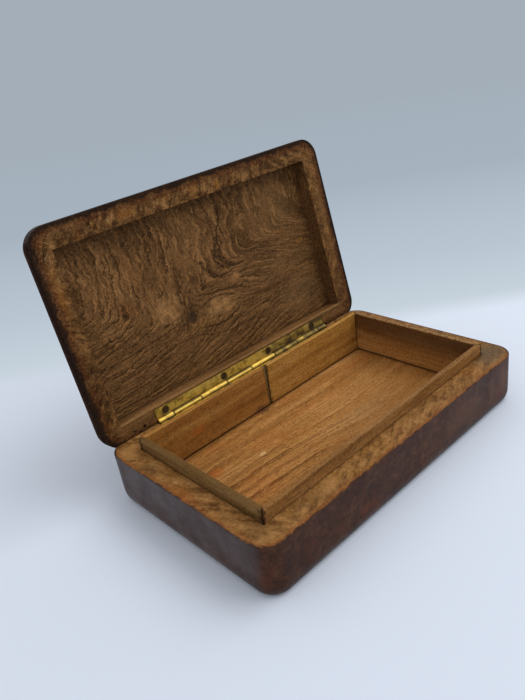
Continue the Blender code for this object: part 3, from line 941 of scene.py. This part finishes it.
def makeRecessFigure(graph, u, v, w):
    # the colour of the recess, and how high its figure stands
    values = lidFinish
    flat = graph.vector(u, v, w * 0.3)
    large = graph.split(graph.noise(flat, 0.055, 2.0, output=1))
    small = graph.split(graph.noise(flat, 0.24, 4.0, 0.68, output=1))
    loose = v.ramp(10.0, 36.0, 0.3, 1.0)
    um = u + (large[0] - 0.5) * 8.0 * loose + (small[0] - 0.5) * 5.5
    vm = v + (large[1] - 0.5) * 6.0 * loose + (small[1] - 0.5) * 3.4 * loose
    across = acrossFigure(graph, um, vm)
    along = um * 0.8 + vm
    grain = graph.group(grainGroup, Along=along, Across=across, Depth=w, Spacing=values["spacing"],
                        Length=values["length"], Wobble=loose * values["wobble"])
    hairs = graph.group(grainGroup, Along=along + 40.0, Across=across + 9.0, Depth=w,
                        Spacing=values["spacing"] * 0.5, Length=values["length"] * 0.6,
                        Wobble=values["wobble"])
    calm = 0.0
    for spot, reach, share in lidCalm:
        calm = graph.largest(graph.patch(um, vm, spot, reach, 0.8) * share, calm)
    busy = 1 - calm
    cloud = graph.noise(graph.vector(along * 0.05, across * 0.14, w), detail=4.0, roughness=0.6)
    paint = Paint(graph, lidTones, cloud, (0.36, "deep"), (0.50, "brown"), (0.64, "warm"))
    ragged = graph.noise(flat, 0.28, 4.0, 0.7).ramp(0.40, 0.58, 0.30, 1.05)
    paint.spots(um, vm, lidPatches, 0.9, ragged)
    streaks = grain["Fibres"].ramp(0.51, 0.64)
    paint.over(streaks * 0.60, "pale")
    strength = u.ramp(28.0, 60.0, 1.0, 0.55)
    lines = graph.largest(grain["Rings"] * strength, hairs["Rings"] * 0.7) * busy
    paint.over(grain["Ridges"] * strength * busy * 0.55, "pale")
    paint.over(lines * 0.9, "line")
    drawn = 0.0
    wobbleU, wobbleV = u + (small[1] - 0.5) * 3.4, v + (small[2] - 0.5) * 2.8
    for points, width, share in uprightLines:
        drawn = graph.largest(graph.stroke(v, wobbleU, points, width) * share, drawn)
    for points, width, share in lyingLines:
        drawn = graph.largest(graph.stroke(u, wobbleV, points, width) * share, drawn)
    paint.over(drawn, "line")
    # the knot and its leaning tail
    knot = graph.patch(wobbleU, wobbleV, values["knot"], values["knotReach"], 0.45)
    lean = (wobbleV - values["knotTail"][1]) * -0.25
    tail = graph.patch(wobbleU + lean, wobbleV, values["knotTail"], values["tailReach"], 0.9)
    knot = graph.largest(knot, tail * 0.65)
    paint.over(knot * 0.82, "knot")
    dark = graph.largest(lines, graph.largest(drawn, knot))
    fibre = grain["Fibres"].ramp(0.50, 0.34) * (busy * 0.7 + 0.3)
    paint.over(fibre * 0.50, "deep")
    paint.over(grain["Pores"] * (busy * 0.3 + 0.2), "line")
    shadow = v.ramp(84.0, 96.0) * u.ramp(80.0, 0.0, 1.0, 0.75)
    paint.over(shadow * 0.45, "line")
    return paint.colour, streaks * 0.4 - fibre * 0.3 - dark * 0.8


def hingeWallColour(graph, u, v, w):
    # the recess's wall by the hinge: straight grain, painted shade towards the recess floor and a painted
    # highlight along its worn top arris
    grain = graph.group(grainGroup, Along=u, Across=w + v, Depth=v, Spacing=2.2, Length=50.0, Wobble=0.8)
    paint = Paint(graph, lidTones, grain["Bands"], (0.34, "brown"), (0.50, "warm"), (0.66, "pale"))
    paint.over(grain["Rings"] * 0.3, "line")
    # painted shade: the wall darkens towards the recess floor, most in the corner where they meet
    paint.over(w.ramp(3.0, 8.5) * 0.25, "deep")
    paint.over(w.ramp(7.6, 8.6) * 0.60, "line")
    # a painted highlight along the worn arris where the wall meets the rim
    light = w.ramp(2.6, 0.9) * (v + recessBackY * 1000).bell(0.0, 0.9)
    ragged = graph.noise(graph.vector(u * 0.2, v, w), detail=3.0).ramp(0.30, 0.60, 0.35, 1.0)
    paint.over(light * ragged * 0.55, "light")
    return paint.colour


def crossedLines(graph, x, y, width):
    # fine light lines that cross, as the figure's ripples do in a raking light
    bent = graph.noise(graph.vector(x, y, 0.0), 0.08, 2.0) * 7.0
    rising = graph.noise(
        graph.vector((x * 1.0 - y * 0.6 + bent) * 0.8, (x * 0.6 + y) * 0.07, 2.0), detail=1.0)
    falling = graph.noise(
        graph.vector((x * 0.8 + y * 0.9 - bent) * 0.8, (x * 0.9 - y) * 0.07, 7.0), detail=1.0)
    return graph.smallest(rising.bell(0.5, width) + falling.bell(0.5, width * 0.8), 1.0)


def makeLidFinish():
    values = lidFinish
    material, graph, place = startFinish("burrLid", closed=True)
    u, y, w = graph.split(place)
    v = 0.0 - y
    inside = graph.group(outlineGroup, X=u, Y=v + (lidFrontY + lidBackY) * 500)["Inside"]
    figure, figureHeight = makeRecessFigure(graph, u, v, w)

    rim, burl = rimPaint(graph, place, 11.0, lidRimTones, 0.5, 0.55, 0.55)
    rim.spots(u, v, values["rimSpots"], 0.9)
    here = burl["Mottle"].ramp(0.46, 0.60) * v.ramp(30.0, 90.0)
    rim.over(crossedLines(graph, u, v, 0.045) * u.ramp(60.0, -60.0, 0.30, 0.65) * here, "light")
    wall = hingeWallColour(graph, u, v, w)
    plain = graph.mix(0.25, wall, lidTones["deep"])
    rim.over(v.ramp(9.5, 7.5) * abs(u).ramp(84.0, 76.0) * 0.85, plain)
    wander = graph.noise(place, 0.20, 5.0, 0.62, 0.5)
    pastStain = inside - (values["stainWidth"] + (wander - 0.5) * 2 * values["stainWander"])
    clear = pastStain.ramp(-0.8, 1.2)
    rim.over(pastStain.bell(1.2, 2.6) * 0.60, "fringe")
    onRim = w.ramp(0.60, 0.30)
    # the figure runs through the lid, faint under the stain
    paint = outsidePaint(graph, place, w + 20.0)
    paint.over(figureHeight.ramp(-0.15, -0.70) * 0.60, "soot")
    paint.over(figureHeight.ramp(0.05, 0.35) * 0.40, "light")
    paint.over(w.ramp(6.0, 1.5) * 0.85, "soot")
    paint.over(onRim * (clear * 0.94 + 0.06), rim.colour)

    edges = graph.smallest(u - recessLeft * 1000, recessRight * 1000 - u)
    edges = graph.smallest(edges, v + recessBackY * 1000)
    edges = graph.smallest(edges, -recessFrontY * 1000 - v)
    recess = edges.ramp(-0.15, 0.05) * w.ramp(10.5, 9.6)
    paint.over(recess, figure)
    paint.over((v + recessBackY * 1000).ramp(0.75, 0.25) * recess, wall)
    # grime about the old holes and the pit, with painted shade inside them
    grimeAndShade = 0.0
    for x, back, radius in lidValues["oldHoles"] + (lidValues["endPit"],):
        hole = graph.patch(u, v, (x * 1000, back * 1000), (radius * 1900, radius * 1900), 0.7)
        grimeAndShade = graph.largest(grimeAndShade, hole)
    paint.over(grimeAndShade * 0.9 * w.ramp(3.0, 2.0), "soot")

    wear = graph.group(handlingGroup, Vector=place, Seed=5.0)
    bare = graph.largest(onRim * clear, recess)
    paint.speckle(wear, lidTones["line"], lidTones["pale"], bare * 0.35 + 0.10)
    paint.over(wear["Scratches"] * (bare * 0.25 + 0.05), lidTones["pale"])
    roughness = smudged(wear, values["outsideRoughness"])
    roughness = roughness + bare * (values["roughness"] - values["outsideRoughness"])
    ends = abs(u).ramp(88.4, 89.6)
    roughness = roughness * (1 - ends) + ends * values["endRoughness"]
    paint.over(ends * 0.15, "soot")
    height = figureHeight * recess + (burl["Strokes"] * 0.5 - burl["Eyes"] * 0.3) * onRim
    height = height - wear["Scratches"] * 0.1
    finishSurface(graph, paint.colour, roughness, height, values["bumpDepth"], values["specular"])
    return material


# Floor panel: worn straight-grained wood

floorTones = makeTones(
    line=(92, 55, 22), brown=(152, 103, 50), tan=(186, 130, 68), pale=(214, 160, 97), red=(182, 92, 40),
    grey=(164, 128, 82), plum=(84, 50, 38), white=(226, 184, 130),
)
floorFinish = {
    "spacing": 1.7, "length": 70.0, "wobble": 1.1, "roughness": 0.50, "bumpDepth": 0.00010,
    "nick": ((30, -6.5), (33, -8.5), (37, -11)),
    "spots": (
        ((-57, 17), (6, 4), "red", 0.6), ((-33, 10), (3.0, 1.8), "white", 0.75),
        ((-22, 12), (3.2, 2.2), "pale", 0.4), ((20, 12), (30, 12), "pale", 0.15),
        ((26, -8), (16, 9), "grey", 0.45), ((48, -2), (34, 40), "brown", 0.45),
        ((-6, 38), (7, 4), "plum", 0.8), ((62, 10), (10, 26), "line", 0.18),
        # the last patch on the next line is painted shade over the floor's front half, by the front strip
        ((30, -18), (76, 26), "line", 0.26),
    ),
}


def makeFloorFinish():
    values = floorFinish
    material, graph, place = startFinish("floorPanel")
    x, y, z = graph.split(place)
    large = graph.noise(graph.vector(x * 0.3, y, z), 0.05, 2.0)
    small = graph.noise(graph.vector(x * 0.5, y, z), 0.22, 2.0)
    reach = graph.largest(graph.calc("SMOOTH_MIN", x + 60.0, 74.0, 20.0), 0.0)
    bend = reach * reach * 0.0018 * y.ramp(30.0, -25.0)
    across = y + bend + (large - 0.5) * 6.0 + (small - 0.5) * 1.6
    grain = graph.group(grainGroup, Along=x, Across=across, Depth=z, Spacing=values["spacing"],
                        Length=values["length"], Wobble=values["wobble"])
    wide = graph.group(grainGroup, Along=x + 31.0, Across=across, Depth=z,
                       Spacing=6.0, Length=80.0, Wobble=0.5)
    bands = grain["Bands"] * 0.6 + wide["Bands"] * 0.4
    paint = Paint(graph, floorTones, bands, (0.36, "brown"), (0.50, "tan"), (0.66, "pale"))
    busy = 1 - graph.patch(x, y, (46, -16), (44, 26), 0.7) * 0.8
    paint.over(grain["Rings"] * busy * 0.68, "line")
    corner = (x + y * 2.0).ramp(20.0, -40.0, 0.20, 1.0)
    paint.over(wide["Ridges"] * corner * 0.4, "pale")
    paint.over(wide["Rings"] * busy * corner, "line")
    fibre = grain["Fibres"].ramp(0.32, 0.68)
    paint.over(fibre * 0.45, "brown")
    paint.over(wide["Fibres"].ramp(0.54, 0.66) * 0.50, "pale")
    paint.over(grain["Pores"] * 0.65, "line")
    clouds = graph.noise(graph.vector(x * 0.03, y * 0.09, 4.0), detail=4.0, roughness=0.6).ramp(0.46, 0.66)
    paint.over(clouds * 0.18, "red")
    ragged = graph.noise(place, 0.5, 3.0, 0.6) + 0.4
    paint.spots(x, y, values["spots"], 0.7, ragged)
    nick = graph.stroke(x, y, values["nick"], 0.35)
    paint.over(nick * 0.8, "line")
    # painted shade along the foot of the lining's strips
    low, high = floorLow * 1000, floorHigh * 1000
    stripLow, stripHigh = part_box("liner_left")
    wall = (stripHigh[0] - stripLow[0]) * 1000
    edge = graph.smallest(graph.smallest(x - (low.x + wall), high.x - wall - x),
                          graph.smallest(y - (low.y + wall), high.y - wall - y))
    paint.over(edge.ramp(1.6, 0.0) * 0.45, "line")
    wear = graph.group(handlingGroup, Vector=place, Seed=8.0)
    paint.speckle(wear, "line", "pale", 0.30)
    paint.over(wear["Scratches"] * 0.22, "pale")
    paint.over(wear["Dust"] * 0.05, "white")
    roughness = smudged(wear, values["roughness"], -0.08)
    height = fibre * 0.4 - grain["Rings"] * busy * 0.4 - grain["Pores"] * 0.4 - nick - wear["Scratches"] * 0.2
    finishSurface(graph, paint.colour, roughness, height, values["bumpDepth"], woodSpecular)
    return material


# Lining strips: plain straight grain, each with its own cast

stripTones = {
    "liner_front": makeTones(wood=(146, 100, 50), dark=(106, 70, 33), pale=(180, 134, 82)),
    "liner_left": makeTones(wood=(130, 98, 54), dark=(98, 70, 36), pale=(156, 124, 78)),
    "liner_right": makeTones(wood=(198, 144, 78), dark=(168, 115, 57), pale=(216, 167, 102)),
    "liner_back_left": makeTones(wood=(164, 112, 52), dark=(134, 86, 36), pale=(186, 136, 72),
                                 glue=(118, 104, 68)),
    "liner_back_right": makeTones(wood=(182, 130, 60), dark=(152, 104, 44), pale=(204, 156, 84)),
}
stripFinish = {
    "spacing": 1.5, "length": 60.0, "wobble": 0.8, "roughness": 0.58, "bumpDepth": 0.00008, "topWear": 0.6,
}


def wearTop(graph, paint, place, across, innerEdge, z, top, handled):
    # a worn light top arris; the tops that hands reach are dark, with a painted highlight along the inner
    # arris
    worn = z.ramp(top - stripFinish["topWear"], top - 0.05)
    ragged = graph.noise(place, 0.8, 3.0, 0.6).ramp(0.35, 0.6)
    paint.over(worn * (ragged * 0.4), "pale")
    if handled:
        inner = across.bell(innerEdge, 0.5)
        paint.over(z.ramp(top - 0.5, top - 0.1) * handled, "dark")
        # painted highlight along the inner arris
        paint.over(inner * worn * 0.6, "pale")


def glueJoint(graph, paint, x, z, low, high):
    # old glue in the butt joint, wide at the top, and stains near it
    spread = z.ramp(low.z, high.z, 0.5, 1.5)
    paint.over((high.x - x - spread).ramp(0.15, -0.15) * 0.6, "glue")
    seam = graph.largest((high.x - x - spread).bell(0.25, 0.4), (high.x - x).ramp(0.45, 0.2))
    paint.over(seam * 0.45, outsideTones["soot"])
    paint.over(graph.patch(x, z, (-7.0, low.z + 1.0), (7.0, 3.0), 0.8) * 0.6, floorTones["plum"])
    paint.over(graph.patch(x, z, (-48, 20), (6, 3), 0.8) * 0.45, floorTones["red"])


def makeStripFinish(node, seed):
    values, tones = stripFinish, stripTones[node]
    material, graph, place = startFinish(node.replace("liner", "lining"))
    x, y, z = graph.split(place)
    low, high = (Vector(corner) * 1000 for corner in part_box(node))
    alongX = high.x - low.x > high.y - low.y
    along, side = (x, y) if alongX else (y, x)
    wander = graph.noise(graph.vector(along * 0.03, z * 0.2, seed), detail=2.0)
    grain = graph.group(grainGroup, Along=along + seed * 37.0, Across=z + (wander - 0.5) * 6.0, Depth=side,
                        Spacing=values["spacing"], Length=values["length"], Wobble=values["wobble"])
    paint = Paint(graph, tones, grain["Bands"], (0.30, "dark"), (0.50, "wood"), (0.72, "pale"))
    line, soot = outsideTones["stain"], outsideTones["soot"]
    paint.over(grain["Rings"] * 0.28, line)
    fibre = grain["Fibres"].ramp(0.34, 0.66)
    paint.over(fibre * 0.40, "dark")
    paint.over(grain["Pores"] * 0.45, line)
    wear = graph.group(handlingGroup, Vector=place, Seed=seed + 20.0)
    paint.speckle(wear, line, "pale", 0.40)
    # painted shade: the right strip is darker towards its top and lighter low down, where light from the
    # floor reaches it
    if node == "liner_right":
        paint.over(z.ramp(low.z + 3.0, high.z - 4.0) * 0.80, line)
    handled = {"liner_front": 0.25, "liner_left": 0.7}.get(node)
    wearTop(graph, paint, place, side, high.y if alongX else high.x, z, high.z, handled)
    # painted shade along the strip's foot
    paint.over(z.ramp(low.z + 1.2, low.z + 0.5) * 0.75, soot)
    ends = graph.smallest(along - (low.x if alongX else low.y), (high.x if alongX else high.y) - along)
    # painted shade in the gaps at the strips' ends, ragged, and wider at the chipped front-left mitre
    gapShadeWidth = graph.noise(place, 0.9, 3.0, 0.6).ramp(0.35, 0.65, 0.6, 2.2)
    if handled:
        gapShadeWidth = gapShadeWidth * x.ramp(-76.0, -78.5, 1.0, 1.5)
    paint.over(ends.ramp(gapShadeWidth, gapShadeWidth * 0.4) * 0.75, soot)
    if node == "liner_back_left":
        glueJoint(graph, paint, x, z, low, high)
    paint.over(wear["Scratches"] * 0.2, "pale")
    roughness = smudged(wear, values["roughness"])
    height = fibre * 0.5 - grain["Rings"] * 0.3 - grain["Pores"] * 0.4 - wear["Scratches"] * 0.2
    finishSurface(graph, paint.colour, roughness, height, values["bumpDepth"], woodSpecular)
    return material


# Brass of the strip hinge, tarnished, with grime and painted shade about its screws and knuckles

brassTones = makeTones(
    bright=(244, 214, 108), yellow=(230, 192, 88), olive=(174, 141, 61), brown=(92, 68, 22),
    soot=(36, 28, 16), copper=(150, 106, 56),
)
brassFinish = {
    "roughness": 0.44, "tarnishRoughness": 0.56, "bumpDepth": 0.00005, "screwBumpDepth": 0.00006,
    "grimeAndShade": 2.9,
    "firstKnuckle": 9.3, "knucklePitch": 17.7,
    "rubbedSpots": (((-30, 4.5), (15, 2.6)), ((7, 3.8), (11, 2.4)), ((-50, 3.6), (7, 2.2))),
}


def knuckleEnds():
    # where the barrel's knuckles part, from the left end
    ends, place = [], leafLow.x * 1000 + brassFinish["firstKnuckle"]
    while place < leafHigh.x * 1000 - 1:
        ends.append(place)
        place += brassFinish["knucklePitch"]
    return ends


def makeBrassFinish(name, closed):
    values = brassFinish
    material, graph, place = startFinish(name, closed)
    u, y, w = graph.split(place)
    v = 0.0 - y if closed else hingePlace.y * 1000 - y
    brushed = graph.noise(graph.vector(u * 0.25, v * 3.0, w * 3.0), detail=3.0, roughness=0.6)
    cloud = graph.noise(place, 0.25, 4.0, 0.65)
    speck = graph.noise(place, 1.0, 4.0, 0.7)
    paint = Paint(graph, brassTones, cloud * 0.6 + brushed * 0.4,
                  (0.38, "olive"), (0.50, "yellow"), (0.62, "bright"))
    barrel = hingeSeat["barrelRadius"] * 1000
    onBarrel = v.ramp(barrel + 0.25, barrel - 0.05)
    if closed:
        # a lid knuckle shines in two lines when the lid is open
        shine = graph.largest(v.bell(barrel * 0.80, 0.5), v.bell(barrel * 0.30, 0.4))
        dim = v.ramp(0.1, -0.3)
    else:
        # a base knuckle shines in one line and has painted shade with grime above, where the lid's leaf bears
        # on it
        rise = w - hingePlace.z * 1000
        shine = rise.bell(barrel * 0.50, 0.55)
        dim = rise.ramp(barrel * 0.72, barrel * 0.95)
    for spot, reach in values["rubbedSpots"]:
        paint.over(graph.patch(u, v, spot, reach, 0.9) * 0.60, "bright")
    paint.over(cloud.ramp(0.50, 0.38) * 0.35, "brown")
    paint.over(onBarrel * 0.35, "olive")
    paint.over(onBarrel * shine * 0.55, "bright")
    smear = graph.noise(graph.vector(u * 0.16, v * 0.22, w * 0.22), detail=3.0, roughness=0.5)
    tarnished = u.ramp(10.0, 26.0) * 1.1 + graph.patch(u, v, (-22, 5), (10, 4), 0.9) * 0.3 + 0.06
    tarnish = smear.ramp(0.36, 0.60, 0.45, 1.0) * tarnished * v.ramp(0.4, 2.4, 0.5, 1.0)
    paint.over(tarnish * 0.85, "brown")
    black = (smear * 0.7 + speck * 0.3).ramp(0.50, 0.66) * tarnished
    paint.over(black * 0.6, "soot")
    # painted shade with grime on the barrel's dim side
    grimeAndShade = onBarrel * dim * 0.8
    # grime about the screws, with the painted shade of their countersinks
    for x in screwPlaces():
        ring = graph.patch(u + (speck - 0.5) * 1.6, v, (x * 1000, hingeSeat["screwToAxis"] * 1000),
                           (values["grimeAndShade"], values["grimeAndShade"]), 0.45)
        grimeAndShade = graph.largest(grimeAndShade, ring)
    # painted shade in the gaps where the knuckles part
    for x in knuckleEnds():
        grimeAndShade = graph.largest(u.bell(x, 0.75) * v.ramp(barrel + 0.8, barrel), grimeAndShade)
    # painted shade in the line where the leaf meets the barrel
    grimeAndShade = graph.largest(grimeAndShade, v.bell(barrel + 0.35, 0.35) * 0.55)
    paint.over(grimeAndShade * 0.92, "soot")
    ends = graph.smallest(u - leafLow.x * 1000, leafHigh.x * 1000 - u)
    paint.over(ends.ramp(0.8, 0.0) * 0.6, "brown")
    dull = graph.smallest(tarnish + grimeAndShade + black * 0.5, 1.0)
    wear = graph.group(handlingGroup, Vector=place, Seed=31.0)
    roughness = brushed * 0.15 + dull * (values["tarnishRoughness"] - values["roughness"])
    roughness = roughness + values["roughness"] - 0.07
    height = brushed * 0.4 + speck * dull * 0.8 - wear["Scratches"] * 0.4
    shader = finishSurface(graph, paint.colour, roughness, height, values["bumpDepth"])
    graph.feed(shader.inputs["Metallic"], 0.85 - dull * 0.45)
    return material


def makeScrewFinish():
    material, graph, place = startFinish("darkScrews")
    speck = graph.noise(place, 1.6, 4.0, 0.65)
    paint = Paint(graph, brassTones, speck, (0.36, "soot"), (0.52, "brown"), (0.68, "copper"))
    paint.over(0.45, "soot")
    roughness = speck.ramp(0.3, 0.7, 0.65, 0.42)
    shader = finishSurface(graph, paint.colour, roughness, speck, brassFinish["screwBumpDepth"])
    graph.feed(shader.inputs["Metallic"], speck.ramp(0.4, 0.7, 0.35, 0.9))
    return material


dressPiece(basePiece, makeBaseFinish())
dressPiece(lidPiece, makeLidFinish())
bpy.data.objects["base_floor"].material_slots[0].material = makeFloorFinish()
for number, (node, piece) in enumerate(strips.items(), 1):
    dressPiece(piece, makeStripFinish(node, number * 3.0))
dressPiece(leaves["hinge_leaf_base"], makeBrassFinish("brassBase", False))
dressPiece(leaves["hinge_leaf_lid"], makeBrassFinish("brassLid", True))
dressPiece(pinPiece, makeBrassFinish("brassPin", False))
screwFinish = makeScrewFinish()
for piece in screws.values():
    dressPiece(piece, screwFinish)
print("finishes made:", len(bpy.data.materials), "materials")


# Stage, light and camera

stageValues = {
    "floorColour": tone(221, 230, 243), "floorSize": 12.0, "floorDrop": 0.00002, "floorRoughness": 0.8,
    "ambient": 0.70, "ambientColour": tone(252, 252, 255),
    "heading": (0.638, 0.770), "bendStart": 0.115, "bendEnd": 0.150, "reach": 1.2,
    "keyPower": 5.2, "keySize": 0.9, "keyPlace": (0.50, -0.32, 0.95),
}
# the backdrop's colours by their share of the reach behind the box
backdropTones = (
    (0.12, tone(197, 209, 219)), (0.20, tone(185, 198, 210)), (0.30, tone(177, 190, 202)),
    (0.43, tone(166, 179, 191)), (1.0, tone(163, 174, 184)),
)
cameraValues = {
    "place": (-0.1933, -0.1956, 0.1959), "turn": (62.85, 8.16, -43.80),
    "lens": 33.85, "sensor": 36.0, "nearest": 0.01,
}


def makeCamera():
    values = cameraValues
    camera = bpy.data.objects.new("photoCamera", bpy.data.cameras.new("photoCamera"))
    bpy.context.scene.collection.objects.link(camera)
    camera.data.lens = values["lens"]
    camera.data.sensor_width = values["sensor"]
    camera.data.clip_start = values["nearest"]
    camera.location = values["place"]
    camera.rotation_euler = [radians(angle) for angle in values["turn"]]
    bpy.context.scene.camera = camera


def makeFloor():
    # a pale floor that turns softly into a grey-blue backdrop behind the box
    values = stageValues
    deselectAll()
    bpy.ops.mesh.primitive_plane_add(size=values["floorSize"], location=(0, 0, -values["floorDrop"]))
    stageFloor = bpy.context.object
    stageFloor.name = "stage_floor"
    material = bpy.data.materials.new("paleFloor")
    material.use_nodes = True
    graph = Graph(material.node_tree)
    shader = material.node_tree.nodes["Principled BSDF"]
    shader.inputs["Base Color"].default_value = values["floorColour"]
    shader.inputs["Roughness"].default_value = values["floorRoughness"]
    x, y, z = graph.split(graph.add("TexCoord", {}, output="Object"))
    behind = x * values["heading"][0] + y * values["heading"][1]
    backdrop = graph.add("Emission", {"Color": graph.palette(behind * (1 / values["reach"]), backdropTones)})
    share = behind.ramp(values["bendStart"], values["bendEnd"])
    surface = graph.add("MixShader", {0: share, 1: shader.outputs[0], 2: backdrop})
    graph.feed(material.node_tree.nodes["Material Output"].inputs["Surface"], surface)
    stageFloor.data.materials.append(material)


def makeLight():
    # soft light from all round, and one lamp; the camera sees the backdrop's last colour past the floor
    values = stageValues
    world = bpy.data.worlds.new("softRoom")
    bpy.context.scene.world = world
    world.use_nodes = True
    graph = Graph(world.node_tree)
    light = graph.add("Background", {"Color": values["ambientColour"], "Strength": values["ambient"]})
    wall = graph.add("Background", {"Color": backdropTones[-1][1], "Strength": 1.0})
    seen = graph.add("LightPath", {}, output="Is Camera Ray")
    surface = graph.add("MixShader", {0: seen, 1: light, 2: wall})
    graph.feed(world.node_tree.nodes["World Output"].inputs["Surface"], surface)

    lamp = bpy.data.objects.new("keyLamp", bpy.data.lights.new("keyLamp", "AREA"))
    bpy.context.scene.collection.objects.link(lamp)
    lamp.data.energy = values["keyPower"]
    lamp.data.size = values["keySize"]
    lamp.location = values["keyPlace"]
    lamp.rotation_euler = Vector(values["keyPlace"]).to_track_quat("Z", "Y").to_euler()


makeCamera()
makeFloor()
makeLight()
bpy.context.scene.view_settings.view_transform = "Standard"

print("scene ready")
